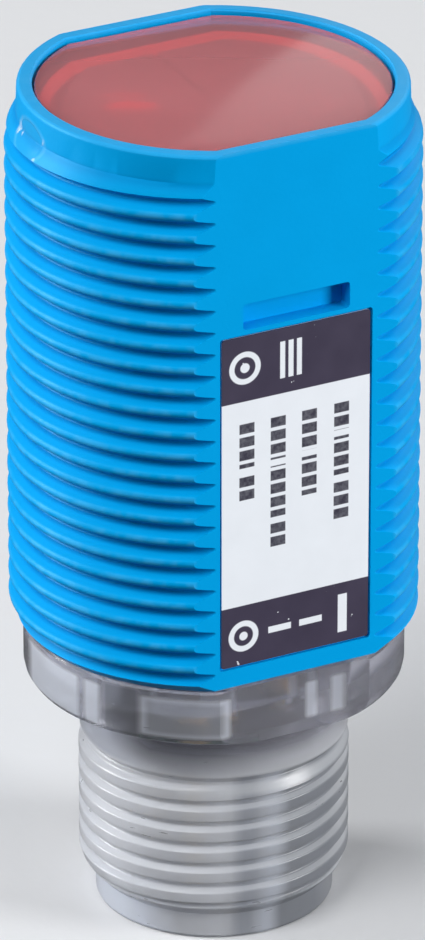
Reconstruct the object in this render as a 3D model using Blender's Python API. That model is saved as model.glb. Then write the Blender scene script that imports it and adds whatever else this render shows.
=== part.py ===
"""Short M18 photoelectric sensor: optics on its axis at one end, a four-pin M12 plug at the other.

Metres, +Z towards the front screen. The origin is the centre of the plug's mouth, which the
sensor stands on. The two flats of the threaded sleeve face -Y, where the rating label is, and +Y.
"""

import math

import bmesh
import bpy

MM = 0.001

# Overall heights, from the mouth of the plug up
TOTAL_HEIGHT = 38.5 * MM
SLEEVE_BOTTOM = 13.7 * MM
FLANGE_TOP = 13.55 * MM
FLANGE_BOTTOM = 10.8 * MM

# Fits
SEAT_GAP = 0.3 * MM
SLIDE_GAP = 0.15 * MM
HAIR_GAP = 0.05 * MM

# M18 x 1 sleeve thread
SLEEVE_CREST_R = 8.915 * MM
SLEEVE_ROOT_R = 8.39 * MM
SLEEVE_THREAD_TOP = 37.25 * MM
SLEEVE_LEAD_IN = 1.35 * MM
SLEEVE_VALLEY_AT_X = 34.75 * MM
RIM_ROUNDING = 0.25 * MM

# M12 x 1 plug thread
PLUG_CREST_R = 5.93 * MM
PLUG_ROOT_R = 5.63 * MM
PLUG_THREAD_BOTTOM = 1.65 * MM
PLUG_THREAD_TOP = 7.9 * MM
PLUG_VALLEY_AT_X = 7.17 * MM
PLUG_RUN_IN = 0.5 * MM
NOSE_R = 5.25 * MM
NOSE_TOP = 1.2 * MM
NOSE_EDGE = 0.1 * MM

THREAD_PITCH = 1.0 * MM
# One pitch of each thread form: how far up the pitch, and how much of the depth is cut there.
# The plug's moulded thread is shallow, with broad crests
SLEEVE_FORM = ((0.0, 1.0), (0.35, 0.0), (0.65, 0.0))
PLUG_FORM = ((0.0, 1.0), (0.26, 0.0), (0.74, 0.0))

# Flats and the sleeve's inside
FLAT_OUT = 7.45 * MM
WINDOW_R = 7.7 * MM
WINDOW_FLAT = 6.85 * MM
BORE_R = 7.4 * MM
BORE_FLAT = 6.35 * MM
LEDGE_R = 6.5 * MM
LEDGE_FLAT = 5.6 * MM
LEDGE_TOP = 36.1 * MM
LEDGE_BOTTOM = 35.1 * MM

# Tool pocket and label on the -Y flat
POCKET_WIDTH = 5.1 * MM
POCKET_LOW = 30.3 * MM
POCKET_HIGH = 31.5 * MM
POCKET_DEPTH = 0.75 * MM
LABEL_WIDTH = 7.1 * MM
LABEL_LOW = 14.63 * MM
LABEL_HIGH = 30.0 * MM
LABEL_THICKNESS = 0.1 * MM
LABEL_RECESS = 0.18 * MM
LABEL_MARGIN = 0.1 * MM

# Front screen and its seal
SCREEN_TOP = 38.3 * MM
SCREEN_THICKNESS = 1.2 * MM
SCREEN_EDGE_GAP = 0.1 * MM
SCREEN_BEVEL = 0.12 * MM
SEAL_INSET = 0.55 * MM
SEAL_WIDTH = 0.5 * MM
SEAL_LOW = 36.3 * MM
SEAL_HIGH = 36.85 * MM

# Optics
CARRIER_LOW = 27.6 * MM
CARRIER_HIGH = 34.8 * MM
SEPTUM_THICKNESS = 0.8 * MM
SEPTUM_TOP = 36.45 * MM
SEPTUM_HALF_LENGTH = 5.2 * MM
LENS_SEAT = 32.2 * MM
LENS_WELL_R = 6.0 * MM
LENS_WELL_FLAT = 5.0 * MM
LENS_WELL_INSET = 0.6 * MM
LIGHT_WELL_R = 5.6 * MM
LIGHT_WELL_FLAT = 4.6 * MM
LIGHT_WELL_INSET = 1.1 * MM
LENS_EDGE = 0.9 * MM
LENS_CROWN = 1.3 * MM
LENS_GAP = 0.1 * MM
FOIL_LOW = 36.72 * MM
FOIL_THICKNESS = 0.2 * MM
FOIL_R = 6.1 * MM
FOIL_FLAT = 5.2 * MM
FOIL_INSET = 0.15 * MM
OPTICS_BOARD_LOW = 26.6 * MM
OPTICS_BOARD_THICKNESS = 0.7 * MM
CHANNEL_X = 3.2 * MM
LED_PACKAGE = 2.4 * MM
LED_HEIGHT = 1.0 * MM
LED_DOME_R = 0.95 * MM
PHOTODIODE = (2.2 * MM, 2.6 * MM, 0.8 * MM)
SHIELD = (3.2 * MM, 4.0 * MM, 1.7 * MM)
SHIELD_WALL = 0.25 * MM
SHIELD_WINDOW_R = 0.9 * MM

# Boards and what is soldered to them
BOARD_THICKNESS = 0.8 * MM
BOARD_HALF_WIDTH = 5.6 * MM
BOARD_LOW = 12.2 * MM
BOARD_HIGH = 26.2 * MM
TAB_HALF_WIDTH = 3.6 * MM
TAB_LOW = 10.2 * MM
FRAME_LOW = 18.6 * MM
FRAME_RING = 1.3 * MM
FRAME_HIGH = 26.2 * MM
FRAME_INNER_R = 6.2 * MM
FRAME_INNER_FLAT = 5.1 * MM
RAIL_X = 6.0 * MM
RAIL_WIDTH = 1.7 * MM
RAIL_DEPTH = 2.4 * MM

# Board pieces: width, thickness off the board, height
CONTROL_CHIP = (5.0 * MM, 0.9 * MM, 5.0 * MM)
POWER_CHIP = (3.0 * MM, 1.1 * MM, 2.8 * MM)
DIODE = (2.5 * MM, 1.0 * MM, 1.4 * MM)
CAPACITOR = (1.25 * MM, 1.2 * MM, 2.0 * MM)
INDICATOR = (1.8 * MM, 1.1 * MM, 1.9 * MM)
PIECE_BEVEL = 0.08 * MM
CONTROL_ROW = 20.0 * MM
CAPACITOR_ROW = 16.6 * MM
POWER_ROW = 15.2 * MM
INDICATOR_ROW = 12.4 * MM

# Clear rear body
SPIGOT_TOP = 18.2 * MM
SPIGOT_R = BORE_R - SLIDE_GAP
SPIGOT_FLAT = BORE_FLAT - SLIDE_GAP
FLANGE_R = 8.38 * MM
FLANGE_ROUNDING = 0.7 * MM
SHANK_R = PLUG_CREST_R
CAVITY_R = 6.3 * MM
CAVITY_FLAT = 5.3 * MM
CAVITY_FLOOR = 11.7 * MM
SOCKET_R = 4.9 * MM
SOCKET_FLOOR = 8.0 * MM
CUP_R = 4.4 * MM
MOUTH_CHAMFER = 0.2 * MM
GROOVE_LOW = 15.0 * MM
GROOVE_HIGH = 16.2 * MM
GROOVE_DEPTH = 0.5 * MM
RIB_WIDTH = 1.2 * MM
RIB_HEIGHT = 0.6 * MM
RIB_LOW = 1.2 * MM

# Contacts
CARRIER_DISC_THICKNESS = 1.8 * MM
PIN_R = 0.5 * MM
PIN_CIRCLE_R = 2.6 * MM
PIN_TIP = 1.8 * MM
PIN_TAIL = 11.0 * MM
PIN_POINT = 0.35 * MM
PIN_COLLAR_R = 0.72 * MM
PIN_COLLAR_HEIGHT = 0.4 * MM

ROUND_SIDES = 48
SLEEVE_SIDES = 32
PLUG_SIDES = 24
CUP_SIDES = 32
ARC_SIDES = 12
SMALL_SIDES = 16
SMOOTH_ANGLE = math.radians(35)

COLOURS = {
    "blue_plastic": ((0.0, 0.33, 0.78), 0.42, 0.0),
    "rose_screen": ((0.55, 0.17, 0.19), 0.18, 0.0),
    "red_seal": ((0.78, 0.03, 0.03), 0.35, 0.0),
    "clear_plastic": ((0.62, 0.62, 0.68), 0.08, 0.0),
    "label_film": ((0.85, 0.87, 0.92), 0.4, 0.0),
    "black_plastic": ((0.02, 0.02, 0.022), 0.5, 0.0),
    "lens_plastic": ((0.75, 0.3, 0.3), 0.05, 0.0),
    "polariser_foil": ((0.2, 0.12, 0.14), 0.2, 0.0),
    "board_laminate": ((0.02, 0.2, 0.08), 0.45, 0.0),
    "chip_resin": ((0.03, 0.03, 0.035), 0.6, 0.0),
    "led_body": ((0.85, 0.85, 0.8), 0.35, 0.0),
    "ceramic": ((0.5, 0.4, 0.28), 0.5, 0.0),
    "tinned_steel": ((0.7, 0.7, 0.72), 0.3, 1.0),
    "gold_plate": ((0.95, 0.7, 0.3), 0.25, 1.0),
    "seal_rubber": ((0.03, 0.03, 0.03), 0.75, 0.0),
}


def material(name):
    """The shared Principled material of one finish."""
    found = bpy.data.materials.get(name)
    if found:
        return found
    made = bpy.data.materials.new(name)
    made.use_nodes = True
    colour, roughness, metallic = COLOURS[name]
    shader = made.node_tree.nodes["Principled BSDF"]
    shader.inputs["Base Color"].default_value = (*colour, 1.0)
    shader.inputs["Roughness"].default_value = roughness
    shader.inputs["Metallic"].default_value = metallic
    made.diffuse_color = (*colour, 1.0)
    return made


def make_object(name, bm, finish=None):
    """Turns a bmesh into an object; without a finish it is a hidden cutter."""
    bmesh.ops.recalc_face_normals(bm, faces=bm.faces)
    mesh = bpy.data.meshes.new(name)
    bm.to_mesh(mesh)
    bm.free()
    mesh.shade_smooth()
    mesh.set_sharp_from_angle(angle=SMOOTH_ANGLE)
    made = bpy.data.objects.new(name, mesh)
    bpy.context.scene.collection.objects.link(made)
    if finish:
        mesh.materials.append(material(finish))
    else:
        made.hide_render = True
        made.display_type = "WIRE"
    return made


def boolean(target, other, operation="DIFFERENCE"):
    modifier = target.modifiers.new(f"{operation.lower()} {other.name}", "BOOLEAN")
    modifier.operation = operation
    modifier.solver = "EXACT"
    modifier.object = other


# Outlines: closed loops of (x, y), anticlockwise seen from +Z


def circle(radius, sides=ROUND_SIDES):
    steps = [2 * math.pi * i / sides for i in range(sides)]
    return [(radius * math.cos(a), radius * math.sin(a)) for a in steps]


def flatted_circle(radius, flat, arc_sides=ARC_SIDES):
    """A circle with two flats facing -Y and +Y, each this far from the centre."""
    reach = math.asin(flat / radius)
    turns = [reach * (2 * i / arc_sides - 1) for i in range(arc_sides + 1)]
    right = [(radius * math.cos(a), radius * math.sin(a)) for a in turns]
    return right + [(-x, -y) for x, y in right]


def half_flatted(radius, flat, inset, side, arc_sides=ARC_SIDES):
    """The part of a flatted circle past x = inset, on the +X side or, with side -1, the -X side."""
    reach = math.asin(flat / radius)
    turns = [reach * (2 * i / arc_sides - 1) for i in range(arc_sides + 1)]
    outline = [(radius * math.cos(a), radius * math.sin(a)) for a in turns]
    outline += [(inset, flat), (inset, -flat)]
    return [(side * x, side * y) for x, y in outline]


def rectangle(width, depth, centre=(0.0, 0.0)):
    x, y = centre
    corners = ((-1, -1), (1, -1), (1, 1), (-1, 1))
    return [(x + sx * width / 2, y + sy * depth / 2) for sx, sy in corners]


# Solids


def add_ring(bm, outline, height):
    return [bm.verts.new((x, y, height)) for x, y in outline]


def bridge(bm, lower, upper):
    count = len(lower)
    for i in range(count):
        j = (i + 1) % count
        bm.faces.new((lower[i], lower[j], upper[j], upper[i]))


def stack(name, sections, finish=None, hollow=False):
    """A solid through (outline, height) sections in order. A hollow one joins its last to its first."""
    bm = bmesh.new()
    rings = [add_ring(bm, outline, height) for outline, height in sections]
    for lower, upper in zip(rings, rings[1:]):
        bridge(bm, lower, upper)
    if hollow:
        bridge(bm, rings[-1], rings[0])
    else:
        bm.faces.new(reversed(rings[0]))
        bm.faces.new(rings[-1])
    return make_object(name, bm, finish)


def prism(name, outline, low, high, finish=None):
    return stack(name, [(outline, low), (outline, high)], finish)


def block(name, size, centre, finish=None, bevel=0.0):
    bm = bmesh.new()
    bmesh.ops.create_cube(bm, size=1.0)
    bmesh.ops.scale(bm, vec=size, verts=bm.verts)
    if bevel:
        bmesh.ops.bevel(bm, geom=bm.edges[:], offset=bevel, segments=1, affect="EDGES")
    bmesh.ops.translate(bm, vec=centre, verts=bm.verts)
    return make_object(name, bm, finish)


def turned(radii_heights, sides=ROUND_SIDES):
    """Sections of a round piece from its (radius, height) profile."""
    return [(circle(radius, sides), height) for radius, height in radii_heights]


def threaded_wall(bm, form, sides, crest, root, valley_at_x, low, high, envelope):
    """A right-hand threaded wall from low to high, and its bottom and top rings.

    Its rows climb one pitch in a turn, and the envelope holds each row's radius down to the
    root at both ends, where the rows run out into the rings.
    """
    steps = len(form)
    bottom = add_ring(bm, circle(root, sides), low)
    top = add_ring(bm, circle(root, sides), high)
    below = math.ceil((valley_at_x - low) / THREAD_PITCH) + 1
    turns = math.ceil((high - low) / THREAD_PITCH) + 3

    def vertex(column, row):
        turn, step = divmod(row, steps)
        rise, cut = form[step]
        share = column / sides
        height = valley_at_x + (turn - below + rise + share) * THREAD_PITCH
        if height <= low:
            return bottom[column]
        if height >= high:
            return top[column]
        radius = min(crest - cut * (crest - root), envelope(height))
        angle = 2 * math.pi * share
        return bm.verts.new((radius * math.cos(angle), radius * math.sin(angle), height))

    grid = [[vertex(column, row) for row in range(turns * steps)] for column in range(sides)]
    grid.append(grid[0][steps:] + [top[0]] * steps)
    for left, right in zip(grid, grid[1:]):
        for row in range(turns * steps - 1):
            corners = (left[row], right[row], right[row + 1], left[row + 1])
            distinct = list(dict.fromkeys(corners))
            if len(distinct) > 2:
                bm.faces.new(distinct)
    return bottom, top


# Sleeve


def sleeve_envelope(height):
    """Full diameter, less the chamfer at the bottom and the rounded lead-in at the top."""
    chamfered = SLEEVE_ROOT_R + (height - SLEEVE_BOTTOM)
    into_lead = (SLEEVE_THREAD_TOP - height) / SLEEVE_LEAD_IN
    if into_lead >= 1:
        return min(chamfered, SLEEVE_CREST_R)
    rounded = math.sin(math.pi / 2 * into_lead)
    return SLEEVE_ROOT_R + rounded * (SLEEVE_CREST_R - SLEEVE_ROOT_R)


def sleeve_bar():
    """The threaded bar with its smooth collar, still solid and round."""
    bm = bmesh.new()
    bottom, ring = threaded_wall(
        bm,
        SLEEVE_FORM,
        SLEEVE_SIDES,
        SLEEVE_CREST_R,
        SLEEVE_ROOT_R,
        SLEEVE_VALLEY_AT_X,
        SLEEVE_BOTTOM,
        SLEEVE_THREAD_TOP,
        sleeve_envelope,
    )
    bm.faces.new(reversed(bottom))
    for turn in (0.0, 0.25, 0.5):
        angle = turn * math.pi
        radius = SLEEVE_ROOT_R - RIM_ROUNDING * (1 - math.cos(angle))
        height = TOTAL_HEIGHT - RIM_ROUNDING * (1 - math.sin(angle))
        upper = add_ring(bm, circle(radius, SLEEVE_SIDES), height)
        bridge(bm, ring, upper)
        ring = upper
    bm.faces.new(ring)
    return make_object("housing_sleeve", bm, "blue_plastic")


def sleeve():
    made = sleeve_bar()
    long = 3 * TOTAL_HEIGHT
    slab = block("flats_cutter", (long, 2 * FLAT_OUT, long), (0, 0, 0))
    boolean(made, slab, "INTERSECT")
    window = flatted_circle(WINDOW_R, WINDOW_FLAT)
    ledge = flatted_circle(LEDGE_R, LEDGE_FLAT)
    bore = flatted_circle(BORE_R, BORE_FLAT)
    inside = [
        (bore, SLEEVE_BOTTOM - SEAT_GAP),
        (bore, LEDGE_BOTTOM),
        (ledge, LEDGE_BOTTOM),
        (ledge, LEDGE_TOP),
        (window, LEDGE_TOP),
        (window, TOTAL_HEIGHT + SEAT_GAP),
    ]
    boolean(made, stack("sleeve_inside_cutter", inside))
    pocket_size = (POCKET_WIDTH, 2 * POCKET_DEPTH, POCKET_HIGH - POCKET_LOW)
    pocket_centre = (0, -FLAT_OUT, (POCKET_HIGH + POCKET_LOW) / 2)
    boolean(made, block("pocket_cutter", pocket_size, pocket_centre))
    label_height = LABEL_HIGH - LABEL_LOW
    recess_size = (LABEL_WIDTH + 2 * LABEL_MARGIN, 2 * LABEL_RECESS, label_height + 2 * LABEL_MARGIN)
    recess_centre = (0, -FLAT_OUT, (LABEL_HIGH + LABEL_LOW) / 2)
    boolean(made, block("label_recess_cutter", recess_size, recess_centre))


def label():
    size = (LABEL_WIDTH, LABEL_THICKNESS, LABEL_HIGH - LABEL_LOW)
    back = FLAT_OUT - LABEL_RECESS + HAIR_GAP
    centre = (0, -(back + LABEL_THICKNESS / 2), (LABEL_HIGH + LABEL_LOW) / 2)
    block("rating_label", size, centre, "label_film")


# Front end


def screen():
    radius = WINDOW_R - SCREEN_EDGE_GAP
    flat = WINDOW_FLAT - SCREEN_EDGE_GAP
    wide = flatted_circle(radius, flat)
    narrow = flatted_circle(radius - SCREEN_BEVEL, flat - SCREEN_BEVEL)
    low = SCREEN_TOP - SCREEN_THICKNESS
    sections = [(wide, low), (wide, SCREEN_TOP - SCREEN_BEVEL), (narrow, SCREEN_TOP)]
    stack("front_screen", sections, "rose_screen")


def screen_seal():
    outer = flatted_circle(WINDOW_R - SEAL_INSET, WINDOW_FLAT - SEAL_INSET)
    inset = SEAL_INSET + SEAL_WIDTH
    inner = flatted_circle(WINDOW_R - inset, WINDOW_FLAT - inset)
    sections = [(outer, SEAL_LOW), (outer, SEAL_HIGH), (inner, SEAL_HIGH), (inner, SEAL_LOW)]
    stack("screen_seal", sections, "red_seal", hollow=True)


def optics_carrier():
    body = flatted_circle(BORE_R - SEAT_GAP, BORE_FLAT - SEAT_GAP)
    carrier = prism("optics_carrier", body, CARRIER_LOW, CARRIER_HIGH, "black_plastic")
    septum_low = (CARRIER_LOW + CARRIER_HIGH) / 2
    septum = rectangle(SEPTUM_THICKNESS, 2 * SEPTUM_HALF_LENGTH)
    boolean(carrier, prism("septum_tool", septum, septum_low, SEPTUM_TOP), "UNION")
    for side, name in ((-1, "left"), (1, "right")):
        light = half_flatted(LIGHT_WELL_R, LIGHT_WELL_FLAT, LIGHT_WELL_INSET, side)
        seat = half_flatted(LENS_WELL_R, LENS_WELL_FLAT, LENS_WELL_INSET, side)
        sections = [
            (light, CARRIER_LOW - SEAT_GAP),
            (light, LENS_SEAT),
            (seat, LENS_SEAT),
            (seat, SEPTUM_TOP + SEAT_GAP),
        ]
        boolean(carrier, stack(f"well_cutter_{name}", sections))


def lens(name, side):
    """A plano-convex half-round lens, flat side down."""
    outline = half_flatted(
        LENS_WELL_R - LENS_GAP, LENS_WELL_FLAT - LENS_GAP, LENS_WELL_INSET + LENS_GAP, side
    )
    base = LENS_SEAT + LENS_GAP
    centre_x = side * (LENS_WELL_R + LENS_WELL_INSET) / 2
    sections = [(outline, base)]
    rings = 6
    for i in range(rings):
        angle = math.pi / 2 * i / rings
        shrink = math.cos(angle)
        shrunk = [(centre_x + shrink * (x - centre_x), shrink * y) for x, y in outline]
        sections.append((shrunk, base + LENS_EDGE + LENS_CROWN * math.sin(angle)))
    stack(name, sections, "lens_plastic")


def polariser(name, side):
    outline = half_flatted(FOIL_R, FOIL_FLAT, FOIL_INSET, side)
    prism(name, outline, FOIL_LOW, FOIL_LOW + FOIL_THICKNESS, "polariser_foil")


def optics_board():
    outline = flatted_circle(BORE_R - SEAT_GAP, BORE_FLAT - SEAT_GAP)
    high = OPTICS_BOARD_LOW + OPTICS_BOARD_THICKNESS
    prism("optics_board", outline, OPTICS_BOARD_LOW, high, "board_laminate")


def emitter_led():
    """A square package with a domed lens on top."""
    x = -CHANNEL_X
    base = OPTICS_BOARD_LOW + OPTICS_BOARD_THICKNESS + 2 * HAIR_GAP
    package = rectangle(LED_PACKAGE, LED_PACKAGE, (x, 0))
    led = prism("emitter_led", package, base, base + LED_HEIGHT, "led_body")
    spring = base + 1.3 * LED_HEIGHT
    dome_profile = [(LED_DOME_R, base + LED_HEIGHT / 2), (LED_DOME_R, spring)]
    for turn in (0.2, 0.35, 0.45):
        angle = turn * math.pi
        height = spring + LED_DOME_R * math.sin(angle)
        dome_profile.append((LED_DOME_R * math.cos(angle), height))
    dome = stack("led_dome_tool", turned(dome_profile, SMALL_SIDES))
    dome.location.x = x
    boolean(led, dome, "UNION")


def receiver():
    """The photodiode and the tinned can over it, which is open below and has a round window."""
    base = OPTICS_BOARD_LOW + OPTICS_BOARD_THICKNESS + 2 * HAIR_GAP
    chip_centre = (CHANNEL_X, 0, base + PHOTODIODE[2] / 2)
    block("receiver_photodiode", PHOTODIODE, chip_centre, "chip_resin")
    width, length, height = SHIELD
    middle = base + height / 2
    can = block("receiver_shield", SHIELD, (CHANNEL_X, 0, middle), "tinned_steel")
    hollow = (width - 2 * SHIELD_WALL, length - 2 * SHIELD_WALL, height)
    hollow_centre = (CHANNEL_X, 0, middle - SHIELD_WALL)
    boolean(can, block("shield_hollow_cutter", hollow, hollow_centre))
    window = [(SHIELD_WINDOW_R, middle), (SHIELD_WINDOW_R, middle + height)]
    aperture = stack("shield_window_cutter", turned(window, SMALL_SIDES))
    aperture.location.x = CHANNEL_X
    boolean(can, aperture)


# Electronics


def main_board():
    """An upright board with a narrow tab that reaches down between the contact pins."""
    bm = bmesh.new()
    side = [
        (-TAB_HALF_WIDTH, TAB_LOW),
        (TAB_HALF_WIDTH, TAB_LOW),
        (TAB_HALF_WIDTH, BOARD_LOW),
        (BOARD_HALF_WIDTH, BOARD_LOW),
        (BOARD_HALF_WIDTH, BOARD_HIGH),
        (-BOARD_HALF_WIDTH, BOARD_HIGH),
        (-BOARD_HALF_WIDTH, BOARD_LOW),
        (-TAB_HALF_WIDTH, BOARD_LOW),
    ]
    half = BOARD_THICKNESS / 2
    front = [bm.verts.new((x, -half, z)) for x, z in side]
    back = [bm.verts.new((x, half, z)) for x, z in side]
    bm.faces.new(front)
    bm.faces.new(reversed(back))
    bridge(bm, back, front)
    make_object("main_board", bm, "board_laminate")


def on_board(name, size, x, low, face, finish):
    """A surface-mounted piece: size is its width, thickness off the board, and height."""
    width, thickness, height = size
    y = face * (BOARD_THICKNESS / 2 + HAIR_GAP + thickness / 2)
    block(name, (width, thickness, height), (x, y, low + height / 2), finish, PIECE_BEVEL)


def board_pieces():
    """Face -1 is the side towards the label."""
    on_board("control_chip", CONTROL_CHIP, 0.0, CONTROL_ROW, -1, "chip_resin")
    on_board("output_chip", POWER_CHIP, 1.6 * MM, POWER_ROW, 1, "chip_resin")
    on_board("regulator_chip", POWER_CHIP, -2.6 * MM, POWER_ROW, 1, "chip_resin")
    on_board("suppressor_diode", DIODE, -1.1 * MM, INDICATOR_ROW, -1, "chip_resin")
    for number in range(4):
        x = (number - 1.5) * 2.3 * MM
        on_board(f"capacitor_{number + 1}", CAPACITOR, x, CAPACITOR_ROW, -1, "ceramic")
    for face, end in ((-1, "front"), (1, "rear")):
        on_board(f"power_led_{end}", INDICATOR, -4.4 * MM, INDICATOR_ROW, face, "led_body")
        on_board(f"output_led_{end}", INDICATOR, 3.7 * MM, INDICATOR_ROW, face, "led_body")


def board_frame():
    """A ring on top of the rear body with two slotted rails that hold the board's edges."""
    ring_top = FRAME_LOW + FRAME_RING
    outer = flatted_circle(BORE_R - SEAT_GAP, BORE_FLAT - SEAT_GAP)
    inner = flatted_circle(FRAME_INNER_R, FRAME_INNER_FLAT)
    sections = [(outer, FRAME_LOW), (outer, ring_top), (inner, ring_top), (inner, FRAME_LOW)]
    frame = stack("board_frame", sections, "black_plastic", hollow=True)
    slot_depth = BOARD_THICKNESS + 2 * SLIDE_GAP
    rail_height = FRAME_HIGH - FRAME_LOW - HAIR_GAP
    rail_z = FRAME_LOW + HAIR_GAP + rail_height / 2
    for side, name in ((-1, "left"), (1, "right")):
        x = side * RAIL_X
        rail_size = (RAIL_WIDTH, RAIL_DEPTH, rail_height)
        boolean(frame, block(f"rail_tool_{name}", rail_size, (x, 0, rail_z)), "UNION")
        slot_x = side * (BOARD_HALF_WIDTH + SLIDE_GAP - RAIL_WIDTH)
        slot = (2 * RAIL_WIDTH, slot_depth, 2 * rail_height)
        boolean(frame, block(f"slot_cutter_{name}", slot, (slot_x, 0, rail_z)))


# Rear body


def plug_envelope(height):
    """The plug thread's full diameter, run out into the shank above and the nose below."""
    from_top = (PLUG_THREAD_TOP - height) / PLUG_RUN_IN
    from_bottom = (height - PLUG_THREAD_BOTTOM) / PLUG_RUN_IN
    rise = min(1.0, from_top, from_bottom)
    return PLUG_ROOT_R + rise * (PLUG_CREST_R - PLUG_ROOT_R)


def rear_bar():
    """The outside of the rear body as one solid: nose, plug thread, shank and round flange."""
    bm = bmesh.new()
    bottom, ring = threaded_wall(
        bm,
        PLUG_FORM,
        PLUG_SIDES,
        PLUG_CREST_R,
        PLUG_ROOT_R,
        PLUG_VALLEY_AT_X,
        PLUG_THREAD_BOTTOM,
        PLUG_THREAD_TOP,
        plug_envelope,
    )
    nose = [(NOSE_R, NOSE_TOP), (NOSE_R, NOSE_EDGE), (NOSE_R - NOSE_EDGE, 0.0)]
    below = bottom
    for radius, height in nose:
        lower = add_ring(bm, circle(radius, PLUG_SIDES), height)
        bridge(bm, lower, below)
        below = lower
    bm.faces.new(reversed(below))
    profile = [
        (SHANK_R, PLUG_THREAD_TOP + SEAT_GAP),
        (SHANK_R, FLANGE_BOTTOM),
        (FLANGE_R - FLANGE_ROUNDING, FLANGE_BOTTOM),
    ]
    for turn in (0.25, 0.5):
        angle = turn * math.pi
        radius = FLANGE_R - FLANGE_ROUNDING * (1 - math.sin(angle))
        height = FLANGE_BOTTOM + FLANGE_ROUNDING * (1 - math.cos(angle))
        profile.append((radius, height))
    profile.append((FLANGE_R, FLANGE_TOP))
    for radius, height in profile:
        upper = add_ring(bm, circle(radius, PLUG_SIDES), height)
        bridge(bm, ring, upper)
        ring = upper
    bm.faces.new(ring)
    return make_object("rear_body", bm, "clear_plastic")


def rear_body():
    made = rear_bar()
    long = 3 * TOTAL_HEIGHT
    boolean(made, block("flange_flats_cutter", (long, 2 * FLAT_OUT, long), (0, 0, 0)), "INTERSECT")
    spigot = flatted_circle(SPIGOT_R, SPIGOT_FLAT)
    groove = flatted_circle(SPIGOT_R - GROOVE_DEPTH, SPIGOT_FLAT - GROOVE_DEPTH)
    sections = [
        (spigot, CAVITY_FLOOR),
        (spigot, GROOVE_LOW),
        (groove, GROOVE_LOW),
        (groove, GROOVE_HIGH),
        (spigot, GROOVE_HIGH),
        (spigot, SPIGOT_TOP),
    ]
    boolean(made, stack("spigot_tool", sections), "UNION")
    cavity = flatted_circle(CAVITY_R, CAVITY_FLAT)
    boolean(made, prism("cavity_cutter", cavity, CAVITY_FLOOR, SPIGOT_TOP + SEAT_GAP))
    cup_profile = [
        (CUP_R + MOUTH_CHAMFER + SEAT_GAP, -SEAT_GAP),
        (CUP_R, MOUTH_CHAMFER),
        (CUP_R, SOCKET_FLOOR),
        (SOCKET_R, SOCKET_FLOOR),
        (SOCKET_R, CAVITY_FLOOR + SEAT_GAP),
    ]
    boolean(made, stack("cup_cutter", turned(cup_profile, CUP_SIDES)))
    rib_depth = RIB_HEIGHT + (PLUG_ROOT_R - CUP_R) / 2
    rib_y = CUP_R - RIB_HEIGHT + rib_depth / 2
    rib_high = SOCKET_FLOOR - SEAT_GAP
    rib_size = (RIB_WIDTH, rib_depth, rib_high - RIB_LOW)
    rib = block("key_rib_tool", rib_size, (0, rib_y, (rib_high + RIB_LOW) / 2))
    boolean(made, rib, "UNION")


def rear_seal():
    """A square-section ring in the spigot's groove, just short of the sleeve's bore."""
    inner_r = SPIGOT_R - GROOVE_DEPTH + HAIR_GAP
    inner_flat = SPIGOT_FLAT - GROOVE_DEPTH + HAIR_GAP
    outer = flatted_circle(BORE_R - HAIR_GAP, BORE_FLAT - HAIR_GAP)
    inner = flatted_circle(inner_r, inner_flat)
    low = GROOVE_LOW + SLIDE_GAP
    high = GROOVE_HIGH - SLIDE_GAP
    sections = [(outer, low), (outer, high), (inner, high), (inner, low)]
    stack("rear_seal", sections, "seal_rubber", hollow=True)


def pin_places():
    for number in range(4):
        angle = math.pi / 4 + number * math.pi / 2
        yield number + 1, PIN_CIRCLE_R * math.cos(angle), PIN_CIRCLE_R * math.sin(angle)


def contact_carrier():
    low = SOCKET_FLOOR + 2 * HAIR_GAP
    radius = SOCKET_R - 2 * HAIR_GAP
    profile = [(radius, low), (radius, low + CARRIER_DISC_THICKNESS)]
    carrier = stack("contact_carrier", turned(profile, CUP_SIDES), "black_plastic")
    for number, x, y in pin_places():
        hole_profile = [(PIN_R + HAIR_GAP, 0.0), (PIN_R + HAIR_GAP, PIN_TAIL)]
        hole = stack(f"pin_hole_cutter_{number}", turned(hole_profile, SMALL_SIDES))
        hole.location = (x, y, 0)
        boolean(carrier, hole)


def contact_pins():
    """Round pins with chamfered tips and a collar that rests on the carrier."""
    collar_low = SOCKET_FLOOR + CARRIER_DISC_THICKNESS + 3 * HAIR_GAP
    collar_high = collar_low + PIN_COLLAR_HEIGHT
    profile = [
        (PIN_R / 2, PIN_TIP),
        (PIN_R, PIN_TIP + PIN_POINT),
        (PIN_R, collar_low),
        (PIN_COLLAR_R, collar_low),
        (PIN_COLLAR_R, collar_high),
        (PIN_R, collar_high),
        (PIN_R, PIN_TAIL),
    ]
    for number, x, y in pin_places():
        pin = stack(f"contact_pin_{number}", turned(profile, SMALL_SIDES), "gold_plate")
        pin.location = (x, y, 0)


def build():
    for old in list(bpy.data.objects):
        bpy.data.objects.remove(old, do_unlink=True)
    sleeve()
    label()
    screen()
    screen_seal()
    optics_carrier()
    for side, name in ((-1, "emitter"), (1, "receiver")):
        lens(f"{name}_lens", side)
        polariser(f"{name}_polariser", side)
    optics_board()
    emitter_led()
    receiver()
    main_board()
    board_pieces()
    board_frame()
    rear_body()
    rear_seal()
    contact_carrier()
    contact_pins()


build()
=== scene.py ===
"""Looks of a short photoelectric barrel sensor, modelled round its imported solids.

Run as a script in Blender. Metres, +Z towards the front screen, -Y towards the label.
"""

import math

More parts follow.
